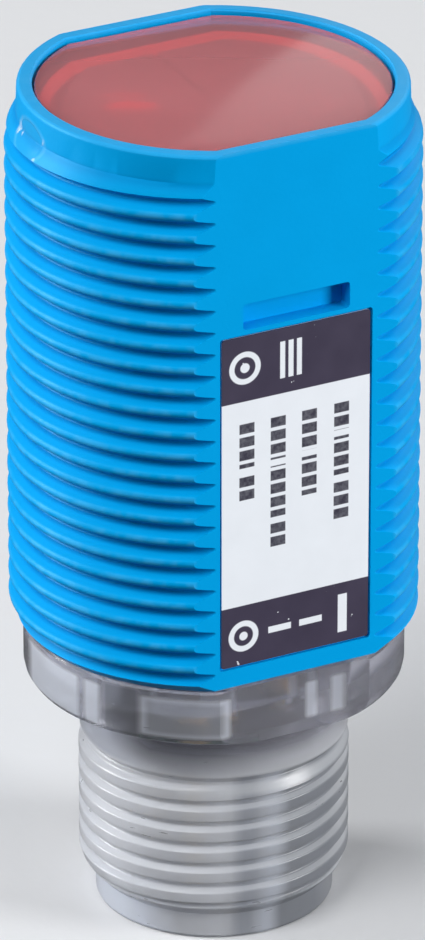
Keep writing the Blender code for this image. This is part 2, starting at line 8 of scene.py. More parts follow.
import bpy
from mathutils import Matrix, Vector


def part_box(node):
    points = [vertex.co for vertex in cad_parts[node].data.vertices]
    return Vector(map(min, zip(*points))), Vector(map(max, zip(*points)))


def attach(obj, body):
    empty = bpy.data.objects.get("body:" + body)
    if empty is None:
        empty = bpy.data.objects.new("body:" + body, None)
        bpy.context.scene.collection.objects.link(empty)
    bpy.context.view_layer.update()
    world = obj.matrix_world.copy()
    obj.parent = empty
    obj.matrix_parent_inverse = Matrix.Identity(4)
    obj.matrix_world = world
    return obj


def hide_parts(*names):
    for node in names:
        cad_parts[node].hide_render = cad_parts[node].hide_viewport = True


bl_info = {
    "name": "Barrel Sensor",
    "version": (1, 0, 0),
    "blender": (4, 5, 0),
    "location": "View3D > Sidebar > Sensor",
    "description": "Builds the sleeve, screen, label, clear plug end and inner pieces of a barrel sensor",
    "category": "Object",
}

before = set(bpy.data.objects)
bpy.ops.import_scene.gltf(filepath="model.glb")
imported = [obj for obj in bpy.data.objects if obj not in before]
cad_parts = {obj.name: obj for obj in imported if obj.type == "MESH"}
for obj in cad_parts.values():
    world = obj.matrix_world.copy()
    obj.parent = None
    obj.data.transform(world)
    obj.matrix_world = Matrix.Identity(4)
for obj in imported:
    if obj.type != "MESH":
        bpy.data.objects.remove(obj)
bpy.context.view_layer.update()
ROOT = "root"
MM = 0.001

SLEEVE_LOW, SLEEVE_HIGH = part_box("housing_sleeve")
SCREEN_LOW, SCREEN_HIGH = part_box("front_screen")
SEAL_LOW, SEAL_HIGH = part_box("screen_seal")
LABEL_LOW, LABEL_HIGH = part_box("rating_label")
REAR_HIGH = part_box("rear_body")[1]
CARRIER_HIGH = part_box("contact_carrier")[1]

WELD = 1e-6
ROUND_STEPS = 96
SMOOTH_ANGLE = math.radians(22)
FORM_SLOPE = math.radians(60)
CORNER_STEPS = 3

# Label, in millimetres on the -Y flat: x across, z up
LABEL_MID_Y = -(LABEL_LOW.y + LABEL_HIGH.y) / 2 / MM
LABEL_BAND_HIGH = 27.0
LABEL_BAND_LOW = 17.45
LABEL_DASH_HALF = 0.36
LABEL_BLOCK = 0.62
# Rows of dashes: centre x, then each dash's low and high z
LABEL_ROWS = (
    (2.2, ((20.4, 22.3), (22.6, 24.4), (24.7, 26.1))),
    (0.65, ((22.0, 23.8), (24.1, 26.1))),
    (-0.85, ((19.8, 21.0), (21.3, 23.7), (24.0, 26.1))),
    (-2.35, ((22.4, 23.6), (23.9, 26.1))),
)
# Rings and dots: centre x and z, outer and inner radius
LABEL_DISCS = (
    (-2.45, 28.55, 0.75, 0.5),
    (-2.45, 28.55, 0.22, -1.0),
    (-2.5, 16.0, 0.72, 0.46),
    (-2.5, 16.0, 0.2, -1.0),
)
# Plain bars: centre x, half width, low and high z
LABEL_BEAMS = (
    (-0.65, 0.12, 27.7, 29.4),
    (-0.25, 0.12, 27.7, 29.4),
    (0.15, 0.12, 27.7, 29.4),
    (-0.75, 0.55, 15.85, 16.15),
    (0.75, 0.55, 15.85, 16.15),
    (2.3, 0.22, 15.1, 16.9),
)
# Gate mark on the collar: centre y and z, half width and half height, in millimetres
GATE_MARK = (0.7, 37.15, 1.35, 0.8)
# Turn about Z from the label's side to the front left corner, which faces the camera
VIEW_COS = math.cos(math.radians(28))
VIEW_SIN = math.sin(math.radians(28))
# Painted red reflections of the optics on the foil: centre x and y, half length, half width, bend and
# strength
PAINTED_RED_REFLECTIONS = (
    (-3.3, 1.05, 1.25, 0.36, 0.12, 0.95),
    (-3.1, 2.0, 1.1, 0.3, 0.1, 0.35),
    (-3.4, -3.0, 0.6, 0.3, 0.0, 0.35),
)
# Painted light and shade in the plug's plastic: pale and dark bands that stand in for light falling from one
# side and for reflections, set as seen from the front left corner. Columns: from and to across the piece as a
# share of its radius, softness, low and high z in millimetres, tone and milky share
PAINTED_LIGHT_BANDS = (
    (-0.96, -0.70, 0.03, 11.2, 13.2, 1.0, 0.85),
    (-0.67, -0.59, 0.03, 11.2, 13.2, 1.0, 0.85),
    (-0.57, -0.39, 0.03, 11.0, 13.4, 0.12, 0.5),
    (-0.38, 0.09, 0.03, 11.3, 13.15, 0.95, 0.7),
    (-0.345, 0.055, 0.03, 11.5, 12.95, 0.65, 0.55),
    (0.53, 0.59, 0.03, 11.4, 13.1, 0.9, 0.6),
    (0.66, 0.72, 0.03, 11.4, 13.1, 0.9, 0.6),
    (-1.1, -0.62, 0.3, 8.3, 10.8, 0.9, 0.6),
    (0.3, 1.1, 0.5, -0.5, 8.2, 0.34, 1.0),
    (-1.1, -0.5, 0.4, -0.5, 1.5, 0.97, 1.0),
    (0.18, 0.34, 0.1, -0.5, 8.2, 0.5, 0.9),
    (0.37, 0.52, 0.1, -0.5, 8.2, 0.68, 1.0),
)


# Modelling helpers


def deselect():
    for other in list(bpy.context.selected_objects):
        other.select_set(False)


def activate(obj):
    deselect()
    obj.select_set(True)
    bpy.context.view_layer.objects.active = obj


def edit_all(obj):
    activate(obj)
    bpy.ops.object.mode_set(mode="EDIT")
    bpy.ops.mesh.select_mode(type="VERT")
    bpy.ops.mesh.select_all(action="SELECT")


def leave_edit():
    bpy.ops.object.mode_set(mode="OBJECT")


def named(name):
    obj = bpy.context.active_object
    obj.name = name
    obj.data.name = name
    return obj


def draw_profile(name, points):
    """One vertex drawn from point to point, given as (radius, height) in the XZ plane."""
    deselect()
    bpy.ops.mesh.primitive_plane_add(size=MM)
    obj = named(name)
    edit_all(obj)
    bpy.ops.mesh.merge(type="CENTER")
    here = Vector((0.0, 0.0, 0.0))
    places = [Vector((radius, 0.0, height)) for radius, height in points]
    bpy.ops.transform.translate(value=places[0] - here)
    for here, place in zip(places, places[1:]):
        bpy.ops.mesh.extrude_region_move(TRANSFORM_OT_translate={"value": place - here})
    leave_edit()
    return obj


def merge_and_face_out(obj):
    edit_all(obj)
    bpy.ops.mesh.remove_doubles(threshold=WELD)
    bpy.ops.mesh.normals_make_consistent(inside=False)
    leave_edit()


def sweep(obj, steps=ROUND_STEPS, climb=0.0, turns=1):
    """Turns a profile round Z, climbing by this much each turn."""
    activate(obj)
    screw = obj.modifiers.new("turn", "SCREW")
    screw.axis = "Z"
    screw.angle = 2 * math.pi
    screw.steps = steps
    screw.render_steps = steps
    screw.screw_offset = climb
    screw.iterations = turns
    screw.use_merge_vertices = False
    bpy.ops.object.modifier_apply(modifier=screw.name)
    merge_and_face_out(obj)
    return obj


def turned(name, points, steps=ROUND_STEPS):
    """A closed turned solid; its profile starts and ends on the axis or where it started."""
    return sweep(draw_profile(name, points), steps)


def boolean(obj, tool, operation="DIFFERENCE", solver="MANIFOLD"):
    """Applies one Boolean and removes the tool."""
    activate(obj)
    modifier = obj.modifiers.new(operation.lower(), "BOOLEAN")
    modifier.operation = operation
    modifier.solver = solver
    modifier.object = tool
    bpy.ops.object.modifier_apply(modifier=modifier.name)
    bpy.data.objects.remove(tool, do_unlink=True)


def slab(name, size, centre, rounding=0.0, keep=None):
    """A block; the edges for which keep(start, end) is true are rounded."""
    deselect()
    bpy.ops.mesh.primitive_cube_add(size=1.0)
    obj = named(name)
    edit_all(obj)
    bpy.ops.transform.resize(value=size, center_override=(0.0, 0.0, 0.0))
    bpy.ops.transform.translate(value=centre)
    if rounding:
        select_edges(obj, keep or (lambda start, end: True))
        bpy.ops.mesh.bevel(offset=rounding, segments=4, profile=0.5)
    leave_edit()
    return obj


def select_edges(obj, test):
    """Selects the edges that pass the test on their two ends, and stays in edit mode."""
    bpy.ops.mesh.select_mode(type="EDGE")
    bpy.ops.mesh.select_all(action="DESELECT")
    leave_edit()
    points = obj.data.vertices
    for edge in obj.data.edges:
        start, end = (points[index].co for index in edge.vertices)
        edge.select = test(start, end)
    bpy.ops.object.mode_set(mode="EDIT")


def flatted_plate(name, radius, flat, low, high, rounding=0.0, steps=ROUND_STEPS, rim="TOP"):
    """A round plate with flats facing -Y and +Y. Its top edge, bottom edge or both can be rounded."""
    deselect()
    bpy.ops.mesh.primitive_circle_add(
        vertices=steps, radius=radius, fill_type="NGON", location=(0, 0, low)
    )
    obj = named(name)
    activate(obj)
    bpy.ops.object.transform_apply(location=True, rotation=False, scale=False)
    for side in (-1, 1):
        edit_all(obj)
        bpy.ops.mesh.bisect(
            plane_co=(0, side * flat, low),
            plane_no=(0, side, 0),
            clear_outer=True,
            threshold=WELD,
        )
        leave_edit()
    edit_all(obj)
    bpy.ops.mesh.extrude_region_move(TRANSFORM_OT_translate={"value": (0, 0, high - low)})
    leave_edit()
    if rounding:
        levels = {"TOP": (high,), "BOTTOM": (low,), "BOTH": (low, high)}[rim]
        edit_all(obj)
        select_edges(
            obj,
            lambda start, end: any(
                abs(start.z - level) < WELD and abs(end.z - level) < WELD for level in levels
            ),
        )
        bpy.ops.mesh.bevel(offset=rounding, segments=3, profile=0.5)
        leave_edit()
    merge_and_face_out(obj)
    return obj


def smooth(obj, angle=SMOOTH_ANGLE):
    activate(obj)
    bpy.ops.object.shade_smooth_by_angle(angle=angle)


def copy_of(obj, name):
    made = obj.copy()
    made.data = obj.data.copy()
    made.name = name
    made.data.name = name
    bpy.context.scene.collection.objects.link(made)
    return made


def finish_piece(obj, material, slot, *replaced):
    """Gives a finished piece its material and body, and hides what it stands for. Its slot is not used."""
    obj.data.materials.clear()
    obj.data.materials.append(material)
    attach(obj, ROOT)
    if replaced:
        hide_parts(*replaced)
    return obj


# Threads


def thread_form(crest, root, pitch, crest_flat, crest_rounding, root_rounding):
    """One pitch of a rounded thread form, valley to valley, as (radius, height)."""
    run = (crest - root) / math.tan(FORM_SLOPE)
    root_flat = pitch - crest_flat - 2 * run
    up, down = FORM_SLOPE, -FORM_SLOPE
    corners = [
        (root, root_flat / 2, 0.0, up, root_rounding),
        (crest, root_flat / 2 + run, up, 0.0, crest_rounding),
        (crest, root_flat / 2 + run + crest_flat, 0.0, down, crest_rounding),
        (root, root_flat / 2 + 2 * run + crest_flat, down, 0.0, root_rounding),
    ]
    points = [(root, 0.0)]
    for radius, height, before, after, rounding in corners:
        tangent = rounding * math.tan(FORM_SLOPE / 2)
        turn = math.copysign(rounding, after - before)
        centre_radius = radius - tangent * math.sin(before) + turn * math.cos(before)
        centre_height = height - tangent * math.cos(before) - turn * math.sin(before)
        for step in range(CORNER_STEPS + 1):
            lean = before + (after - before) * step / CORNER_STEPS
            points.append(
                (centre_radius - turn * math.cos(lean), centre_height + turn * math.sin(lean))
            )
    points.append((root, pitch))
    return points


def threaded_bar(name, form, pitch, valley_at_x, low, high, envelope, steps=ROUND_STEPS):
    """A closed right-hand threaded bar from low to high, drawn in by the envelope at its ends."""
    below = math.ceil((valley_at_x - low) / pitch) + 1
    turns = math.ceil((high - low) / pitch) + 3
    start = valley_at_x - below * pitch
    obj = draw_profile(name, [(radius, start + height) for radius, height in form])
    sweep(obj, steps, pitch, turns)
    for vertex in obj.data.vertices:
        radius = math.hypot(vertex.co.x, vertex.co.y)
        limit = envelope(vertex.co.z)
        if radius > limit:
            vertex.co.x *= limit / radius
            vertex.co.y *= limit / radius
    for level, outward in ((low, -1), (high, 1)):
        edit_all(obj)
        bpy.ops.mesh.bisect(
            plane_co=(0, 0, level),
            plane_no=(0, 0, outward),
            use_fill=True,
            clear_outer=True,
            threshold=WELD,
        )
        leave_edit()
    edit_all(obj)
    bpy.ops.mesh.normals_make_consistent(inside=False)
    leave_edit()
    return obj


def grow_end(obj, level, stations):
    """Extrudes the flat end at this level through (radius, height) stations."""
    edit_all(obj)
    bpy.ops.mesh.select_mode(type="FACE")
    bpy.ops.mesh.select_all(action="DESELECT")
    leave_edit()
    cap = max(
        (face for face in obj.data.polygons if abs(face.center.z - level) < WELD),
        key=lambda face: face.area,
    )
    radius = max(math.hypot(*obj.data.vertices[index].co.xy) for index in cap.vertices)
    cap.select = True
    bpy.ops.object.mode_set(mode="EDIT")
    height = level
    for next_radius, next_height in stations:
        rise = (0, 0, next_height - height)
        bpy.ops.mesh.extrude_region_move(TRANSFORM_OT_translate={"value": rise})
        grow = next_radius / radius
        bpy.ops.transform.resize(value=(grow, grow, 1.0), center_override=(0, 0, next_height))
        radius, height = next_radius, next_height
    leave_edit()


def quarter_round(radius, height, rounding, rising, steps=4):
    """Stations round an outer edge: from the wall to the face when rising, or from a face out to the wall."""
    stations = []
    for step in range(1, steps + 1):
        angle = math.pi / 2 * step / steps
        if rising:
            stations.append(
                (radius - rounding * (1 - math.cos(angle)), height - rounding * (1 - math.sin(angle)))
            )
        else:
            stations.append(
                (radius - rounding * (1 - math.sin(angle)), height + rounding * (1 - math.cos(angle)))
            )
    return stations


# Shader helpers


class Field:
    """A number that varies over a surface. Arithmetic on it adds Math nodes."""

    def __init__(self, graph, socket):
        self.graph = graph
        self.socket = socket

    def math(self, operation, *others, clamp=False):
        node = self.graph.nodes.new("ShaderNodeMath")
        node.operation = operation
        node.use_clamp = clamp
        for index, value in enumerate((self, *others)):
            self.graph.put(node.inputs[index], value)
        return Field(self.graph, node.outputs[0])

    def __add__(self, other):
        return self.math("ADD", other)

    __radd__ = __add__

    def __mul__(self, other):
        return self.math("MULTIPLY", other)

    __rmul__ = __mul__

    def __sub__(self, other):
        return self.math("SUBTRACT", other)

    def __rsub__(self, other):
        return (self * -1.0) + other

    def __truediv__(self, other):
        return self.math("DIVIDE", other)

    def __abs__(self):
        return self.math("ABSOLUTE")

    def above(self, edge, soft):
        """0 below the edge and 1 above it, over this much softness."""
        return self.math("MULTIPLY_ADD", 1 / soft, 0.5 - edge / soft, clamp=True)

    def below(self, edge, soft):
        return self.math("MULTIPLY_ADD", -1 / soft, 0.5 + edge / soft, clamp=True)


class Graph:
    """A material's node tree with a Principled shader."""

    def __init__(self, name):
        self.material = bpy.data.materials.new(name)
        self.material.use_nodes = True
        self.tree = self.material.node_tree
        self.nodes = self.tree.nodes
        self.shader = self.nodes["Principled BSDF"]

    def put(self, socket, value):
        """Links a field or an output, or sets a plain value."""
        if isinstance(value, Field):
            self.tree.links.new(value.socket, socket)
        elif isinstance(value, bpy.types.NodeSocket):
            self.tree.links.new(value, socket)
        else:
            socket.default_value = value

    def add(self, kind, settings=None, **inputs):
        """Adds a node: its settings first, then the values or links of its sockets by name."""
        node = self.nodes.new("ShaderNode" + kind)
        for key, value in (settings or {}).items():
            setattr(node, key, value)
        for key, value in inputs.items():
            self.put(node.inputs[key.replace("_", " ")], value)
        return node

    def set(self, **values):
        """Sets or links the shader's own sockets."""
        for key, value in values.items():
            self.put(self.shader.inputs[key.replace("_", " ")], value)

    def object_point(self):
        return self.add("TexCoord").outputs["Object"]

    def axes(self):
        """X, Y and Z on the piece, in millimetres."""
        split = self.add("SeparateXYZ", Vector=self.object_point())
        return [Field(self, split.outputs[axis]) * 1000.0 for axis in "XYZ"]

    def noise(self, per_metre, detail=2.0, roughness=0.5, stretch=None):
        point = self.object_point()
        if stretch:
            point = self.add("Mapping", Vector=point, Scale=stretch).outputs[0]
        node = self.add(
            "TexNoise", Vector=point, Scale=per_metre, Detail=detail, Roughness=roughness
        )
        return Field(self, node.outputs[0])

    def cells(self, per_metre, feature="F1"):
        node = self.add(
            "TexVoronoi", {"feature": feature}, Vector=self.object_point(), Scale=per_metre
        )
        return Field(self, node.outputs["Distance"])

    def mix(self, factor, first, second):
        """A colour between two others."""
        node = self.nodes.new("ShaderNodeMix")
        node.data_type = "RGBA"
        self.put(node.inputs[0], factor)
        for socket, colour in ((node.inputs[6], first), (node.inputs[7], second)):
            self.put(socket, colour if isinstance(colour, bpy.types.NodeSocket) else (*colour, 1.0))
        return node.outputs[2]

    def bump(self, height, depth, strength=1.0):
        """Raises the surface by this depth, in metres, where the height is 1."""
        node = self.add("Bump", Strength=strength, Distance=depth, Height=height)
        self.put(self.shader.inputs["Normal"], node.outputs[0])
        return node


def srgb(red, green, blue):
    """A display colour, 0 to 255, as linear light."""

    def linear(level):
        share = level / 255
        return share / 12.92 if share <= 0.04045 else ((share + 0.055) / 1.055) ** 2.4

    return tuple(linear(level) for level in (red, green, blue))


def shade(colour, share):
    return tuple(channel * share for channel in colour)


# Finishes


def moulded_plastic(name, colour, roughness, grain=0.000004, variation=0.06):
    """Plain moulded plastic: faint cloudiness and a fine matt grain."""
    g = Graph(name)
    cloud = g.noise(180, detail=3)
    grit = g.noise(9000, detail=2)
    base = g.mix(cloud, shade(colour, 1 - variation), shade(colour, 1 + variation))
    g.set(
        Base_Color=base,
        Roughness=(cloud - 0.5) * 0.12 + grit * 0.08 + (roughness - 0.04),
    )
    g.bump(grit, grain)
    return g.material


def metal(name, colour, roughness, scratch_stretch=(1.0, 1.0, 0.08)):
    """Plated or tinned metal with fine drawn lines and dull patches."""
    g = Graph(name)
    cloud = g.noise(500, detail=3)
    lines = g.noise(12000, detail=2, stretch=scratch_stretch)
    g.set(
        Base_Color=g.mix(cloud, shade(colour, 0.9), colour),
        Metallic=1.0,
        Roughness=cloud * 0.12 + lines * 0.1 + (roughness - 0.1),
    )
    g.bump(lines, 0.000002)
    return g.material


def sleeve_plastic(settings):
    """Saturated matt plastic: rubbed crests, painted shade in the thread roots, a painted highlight on the
    rim edge and a glossy gate mark with painted glints.
    """
    g = Graph("sleeve plastic")
    x, y, z = g.axes()
    colour = tuple(settings.colour)
    radius = (x * x + y * y).math("SQRT")
    cloud = g.noise(220, detail=4, roughness=0.6)
    speckle = g.noise(5200, detail=2)
    scuffs = g.noise(1500, detail=2)
    rubbed = radius.above(settings.crest_radius / MM - 0.05, 0.1) * scuffs.above(0.52, 0.25)
    # Painted shade: the thread roots are darkened, standing in for the shade in the valleys; it fades out at
    # the flats and the collar.
    painted_root_shade = radius.below(settings.root_radius / MM + 0.12, 0.22) * z.below(settings.thread_top / MM, 0.3)
    painted_root_shade = painted_root_shade * radius.above(8.2, 0.2) * abs(y).below(-SLEEVE_LOW.y / MM - 0.03, 0.03)
    # Painted highlight: a lighter band along the rim's top edge, broken up by the scuff noise.
    painted_rim_highlight = z.above(SLEEVE_HIGH.z / MM - 0.12, 0.16) * (scuffs * 0.7 + 0.35)
    gate_y, gate_z, gate_width, gate_height = GATE_MARK
    across, up = (y - gate_y) / gate_width, (z - gate_z) / gate_height
    away = (across * across + up * up).math("SQRT")
    on_side = x.below(-6.0, 0.5)
    gate = away.below(1.0, 0.25) * on_side
    gate_lip = abs(away - 1.0).below(0.1, 0.14) * on_side
    # Painted glints: pale specks in the gate mark that stand in for sparkling highlights; the same specks
    # also raise the bump.
    painted_glints = gate * g.noise(1300, detail=3, stretch=(1.0, 1.0, 0.5)).above(0.6, 0.06)
    base = g.mix(cloud, shade(colour, 0.94), shade(colour, 1.06))
    # Painted shade in the thread roots, towards a bluish dark.
    base = g.mix(painted_root_shade * 0.4, base, (colour[0] * 0.3, colour[1] * 0.34, colour[2] * 0.55))
    # Rubbed crests are wear; the rim band in the same colour is a painted highlight.
    base = g.mix(rubbed * 0.16 + painted_rim_highlight * 0.2, base, settings.rubbed_and_highlight_colour)
    base = g.mix(gate * 0.08 + gate_lip * 0.16, base, settings.rubbed_and_highlight_colour)
    # Painted glints in the gate mark.
    base = g.mix(painted_glints * 0.75, base, (0.75, 0.86, 0.95))
    ledge = z.above(36.0, 0.1) * z.below(36.25, 0.1) * radius.below(7.9, 0.1) * abs(y).below(6.9, 0.1)
    base = g.mix(ledge * (cloud * 0.3 + 0.7), base, settings.adhesive_colour)
    g.set(
        Base_Color=base,
        Roughness=cloud * 0.1 + speckle * 0.1 + (settings.roughness - 0.1) - gate * 0.2,
        Specular_IOR_Level=0.25,
        Specular_Tint=(0.05, 0.7, 1.0, 1.0),
    )
    g.bump(
        speckle * 0.12 + scuffs * 0.1 + gate_lip * 0.3 + painted_glints * 0.4 + (1.0 - gate) * 0.5, 0.00004
    )
    return g.material


def clear_plastic(settings):
    """Smoky clear plastic that turns milky down the threaded end, with faint flow lines in its bump, painted
    bands of light and shade, a painted highlight on the thread flanks and fine scratches.
    """
    g = Graph("clear plastic")
    x, y, z = g.axes()
    cloud = g.noise(260, detail=3)
    flow = g.noise(900, detail=2, stretch=(1.0, 1.0, 0.3))
    scratches = g.noise(7000, detail=2, stretch=(0.12, 0.12, 1.0))
    colour = tuple(settings.colour)
    milk = tuple(settings.milk_colour)
    g.set(
        Base_Color=g.mix(cloud, shade(colour, 0.92), colour),
        Roughness=scratches * 0.08 + cloud * 0.05 + (settings.roughness - 0.06),
        IOR=1.49,
        Transmission_Weight=settings.clarity,
    )
    bump = g.bump(flow * 0.8 + scratches * 0.2, 0.00001)
    radius = (x * x + y * y).math("SQRT")
    side = (x * VIEW_COS - y * VIEW_SIN) / radius
    tone = g.mix(cloud, shade(milk, 0.9), milk)
    share_milky = z.below(settings.milky_from / MM, 1.2) * (cloud * 0.2 + 0.85).math("MINIMUM", 1.0)
    # Painted light and shade: pale and dark bands across the piece, set as seen from the front left corner,
    # standing in for light from one side and for reflections.
    for start, end, soft, low, high, grey, amount in PAINTED_LIGHT_BANDS:
        painted_band = side.above(start, soft) * side.below(end, soft) * z.above(low, 0.2) * z.below(high, 0.2)
        tone = g.mix(painted_band, tone, (grey * 0.92, grey * 0.97, grey * 1.08))
        share_milky = share_milky * (1.0 - painted_band) + painted_band * amount
    root = settings.root_radius / MM
    # Painted highlight: the flanks of the plug thread are lightened, standing in for bright lines of light in
    # its grooves.
    painted_flank_light = radius.above(root + 0.04, 0.04) * radius.below(root + 0.26, 0.06) * z.below(7.8, 0.2)
    tone = g.mix(painted_flank_light * 0.55, tone, (0.93, 0.96, 1.0))
    milky = g.add(
        "BsdfPrincipled",
        Base_Color=tone,
        Roughness=scratches * 0.14 + cloud * 0.08 + 0.2,
        IOR=1.49,
        Transmission_Weight=0.5,
        Normal=bump.outputs[0],
    )
    blend = g.add("MixShader", Fac=share_milky)
    g.tree.links.new(g.shader.outputs[0], blend.inputs[1])
    g.tree.links.new(milky.outputs[0], blend.inputs[2])
    g.tree.links.new(blend.outputs[0], g.nodes["Material Output"].inputs["Surface"])
    return g.material


def screen_plastic(settings):
    """Rose tinted window, slightly cloudy, with hairline scratches in its gloss."""
    g = Graph("screen plastic")
    cloud = g.noise(160, detail=3)
    hairlines = g.noise(5200, detail=3, stretch=(1.0, 0.05, 1.0))
    colour = tuple(settings.colour)
    g.set(
        Base_Color=g.mix(cloud, shade(colour, 0.95), colour),
        Roughness=hairlines * 0.04 + cloud * 0.02 + settings.roughness,
        IOR=1.36,
        Transmission_Weight=settings.clarity,
    )
    g.bump(cloud, 0.000008)
    return g.material


def seal_bead_finish(settings):
    """Bright red bead of soft sealant, with a painted glow: it emits its own colour, though it is no lamp."""
    g = Graph("red bead")
    lumps = g.noise(1100, detail=2)
    colour = tuple(settings.seal_colour)
    g.set(
        Base_Color=g.mix(lumps, shade(colour, 0.85), colour),
        Roughness=lumps * 0.2 + 0.2,
        # Painted glow: the bead emits its colour so that it shows through the screen.
        Emission_Color=g.mix(lumps, shade(colour, 0.85), colour),
        Emission_Strength=1.0,
    )
    g.bump(lumps, 0.00005)
    return g.material


def foil_finish():
    """Grey-rose polarising foil with a faint drawn grain, a painted glow, and painted red reflections of the
    optics under it.
    """
    g = Graph("polariser foil")
    x, y, _ = g.axes()
    grain = g.noise(3000, detail=2, stretch=(0.05, 1.0, 1.0))
    ripple = g.noise(900, detail=2) - 0.5
    base = g.mix(grain, (0.42, 0.33, 0.34), (0.50, 0.40, 0.41))
    # Painted glow: the foil emits a faint grey-rose light, so that it reads brighter under the screen.
    painted_glow = g.mix(grain, (0.17, 0.12, 0.125), (0.2, 0.15, 0.155))
    # Painted reflections: red crescents in the foil's colour and glow, standing in for reflections of the
    # optics.
    for centre_x, centre_y, half_length, half_width, bend, amount in PAINTED_RED_REFLECTIONS:
        along = (x - centre_x) * VIEW_COS - (y - centre_y) * VIEW_SIN
        across = (x - centre_x) * VIEW_SIN + (y - centre_y) * VIEW_COS
        across = across + along * along * bend + ripple * 0.25
        away = (along / half_length) * (along / half_length) + (across / half_width) * (across / half_width)
        painted_reflection = away.below(0.8, 0.7) * amount
        base = g.mix(painted_reflection, base, (0.95, 0.04, 0.05))
        painted_glow = g.mix(painted_reflection, painted_glow, (1.0, 0.0, 0.0))
    g.set(Base_Color=base, Roughness=grain * 0.1 + 0.3, Emission_Color=painted_glow, Emission_Strength=1.0)
    g.bump(grain, 0.000003)
    return g.material


def lens_finish():
    """Clear lens plastic with a faint cloud."""
    g = Graph("lens plastic")
    cloud = g.noise(400, detail=2)
    g.set(
        Base_Color=g.mix(cloud, (0.9, 0.8, 0.8), (0.97, 0.9, 0.9)),
        Roughness=cloud * 0.05 + 0.02,
        IOR=1.49,
        Transmission_Weight=0.92,
    )
    g.bump(cloud, 0.000004)
    return g.material


def board_laminate():
    """Green lacquered laminate with copper tracks showing as paler lines and round vias."""
    g = Graph("board laminate")
    x, _, z = g.axes()
    tracks = abs((x * 1.1).math("FRACT") - 0.5).below(0.16, 0.06)
    lanes = abs((z * 0.8 + 0.2).math("FRACT") - 0.5).below(0.14, 0.06)
    patch = g.noise(300, detail=1).above(0.5, 0.02)
    copper = tracks * patch + lanes * (1.0 - patch)
    vias = g.cells(550).below(0.16, 0.05)
    weave = g.noise(2600, detail=2)
    base = g.mix(copper, (0.012, 0.10, 0.035), (0.03, 0.19, 0.07))
    base = g.mix(vias, base, (0.55, 0.52, 0.42))
    g.set(Base_Color=base, Roughness=weave * 0.15 + 0.28)
    g.bump(copper * 0.7 + weave * 0.3, 0.00002)
    return g.material


def chip_resin():
    """Black moulding resin with a sparkle of filler."""
    g = Graph("chip resin")
    filler = g.noise(14000, detail=1)
    cloud = g.noise(700, detail=2)
    g.set(
        Base_Color=g.mix(filler.above(0.68, 0.05) * 0.4, (0.012, 0.012, 0.014), (0.09, 0.09, 0.10)),
        Roughness=cloud * 0.15 + filler * 0.15 + 0.4,
    )
    g.bump(filler, 0.000006)
    return g.material


def capacitor_ceramic():
    """Tan ceramic body with bright tinned ends."""
    g = Graph("capacitor ceramic")
    z = g.axes()[2]
    middle, half_body = 17.6, 0.68
    ends = abs(z - middle).above(half_body, 0.04)
    grain = g.noise(8000, detail=2)
    body = g.mix(grain, (0.36, 0.24, 0.14), (0.44, 0.31, 0.19))
    g.set(
        Base_Color=g.mix(ends, body, (0.72, 0.72, 0.74)),
        Metallic=ends,
        Roughness=grain * 0.15 + 0.32,
    )
    g.bump(grain, 0.000006)
    return g.material


def indicator_body():
    """Milky resin of a small indicator lamp, clouded with a yellowish tint."""
    g = Graph("indicator resin")
    cloud = g.noise(1500, detail=2)
    g.set(
        Base_Color=g.mix(cloud, (0.72, 0.70, 0.58), (0.86, 0.85, 0.80)),
        Roughness=cloud * 0.2 + 0.2,
        Transmission_Weight=0.25,
    )
    g.bump(cloud, 0.000006)
    return g.material


def seal_rubber():
    """Black rubber with a dusting and a fine rough skin."""
    g = Graph("seal rubber")
    dust = g.noise(2200, detail=3)
    g.set(
        Base_Color=g.mix(dust.above(0.55, 0.2), (0.018, 0.018, 0.019), (0.06, 0.06, 0.065)),
        Roughness=dust * 0.2 + 0.6,
    )
    g.bump(dust, 0.00001)
    return g.material


def strip(x, z, centre, half_width, low, high, soft=0.03):
    """1 inside an upright strip on the label."""
    across = abs(x - centre).below(half_width, soft)
    return across * z.above(low, soft) * z.below(high, soft)


def disc(x, z, centre_x, centre_z, outer, inner, soft=0.04):
    """1 inside a ring on the label, or a disc when its inner radius is below 0."""
    across, up = x - centre_x, z - centre_z
    away = (across * across + up * up).math("SQRT")
    return away.below(outer, soft) * away.above(inner, soft)


def union(masks):
    first, *others = masks
    for other in others:
        first = first.math("MAXIMUM", other)
    return first


def label_print(settings):
    """Dark bands, stand-in rows of plain dashes, a light-beam sign and plain discs."""
    g = Graph("label print")
    x, y, z = g.axes()
    front = y.below(-LABEL_MID_Y, 0.02)
    bands = z.above(LABEL_BAND_HIGH, 0.03) + z.below(LABEL_BAND_LOW, 0.03)
    ink_edge = g.noise(6000, detail=2)
    blocks = abs((z / LABEL_BLOCK).math("FRACT") - 0.5).below(0.37, 0.05)
    ink = blocks * union(
        strip(x, z, centre, LABEL_DASH_HALF, low, high)
        for centre, dashes in LABEL_ROWS
        for low, high in dashes
    )
    reversed_out = union(
        [disc(x, z, *sizes) for sizes in LABEL_DISCS]
        + [strip(x, z, *sizes) for sizes in LABEL_BEAMS]
    )
    specks = g.noise(2600, detail=2).above(0.735, 0.02) * bands
    fibre = g.noise(900, detail=3)
    paper = g.mix(fibre, shade(tuple(settings.paper), 0.94), tuple(settings.paper))
    dark = g.mix(fibre, shade(tuple(settings.band), 0.85), shade(tuple(settings.band), 1.15))
    dark_area = bands * (1.0 - reversed_out)
    dark_area = dark_area * (1.0 - specks * 0.8)
    base = g.mix(dark_area * front, paper, dark)
    base = g.mix(ink * (ink_edge * 0.3 + 0.8).math("MINIMUM", 1.0) * front, base, tuple(settings.ink))
    g.set(Base_Color=base, Roughness=fibre * 0.12 + ink * 0.05 + 0.3)
    g.bump(fibre * 0.6 + ink_edge * 0.2 + dark_area * 0.3, 0.000004)
    return g.material


